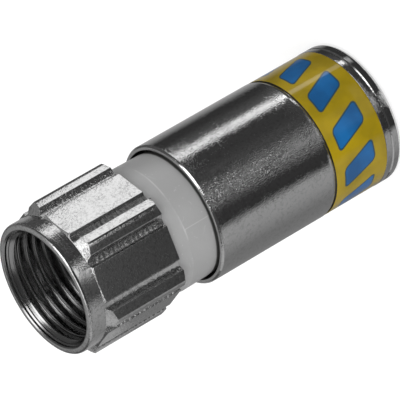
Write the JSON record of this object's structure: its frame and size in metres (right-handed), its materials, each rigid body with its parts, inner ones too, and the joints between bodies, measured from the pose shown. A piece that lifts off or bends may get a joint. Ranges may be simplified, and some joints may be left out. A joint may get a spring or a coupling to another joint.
{
  "type": "f connector",
  "caption": "Compression F connector for coaxial cable: grooved hex coupling nut that spins on an inner post, plastic clamp body, long plated sleeve with a colour band that slides home.",
  "frame": {"origin": "centre of the sleeve's rear face, on the axis, where the cable enters", "axes": "+Z along the axis from the cable entry to the threaded mouth of the coupling nut; +X square to one of the nut's flats"},
  "size_m": [0.0116, 0.0126, 0.0304],
  "materials": {
    "nut_metal": "nickel plated brass, satin turned",
    "seal_rubber": "black rubber, dull",
    "post_metal": "nickel plated brass, smooth",
    "body_plastic": "natural acetal, slightly translucent",
    "sleeve_metal": "nickel plated brass, fine satin",
    "band_film": "yellow film with plain blue print"
  },
  "bodies": {
    "core": {"inner_post": "post_metal", "clamp_body": "body_plastic", "seal_ring": "seal_rubber"},
    "nut": {"coupling_nut": "nut_metal"},
    "sleeve": {"compression_sleeve": "sleeve_metal", "sleeve_band": "band_film"}
  },
  "joints": [
    {"name": "nut_spin", "type": "hinge", "parent": "core", "child": "nut", "pos_m": [0, 0, 0.0235], "axis": [0, 0, 1], "continuous": true},
    {"name": "sleeve_press", "type": "slide", "parent": "core", "child": "sleeve", "axis": [0, 0, 1], "range_m": [0, 0.0034]}
  ]
}
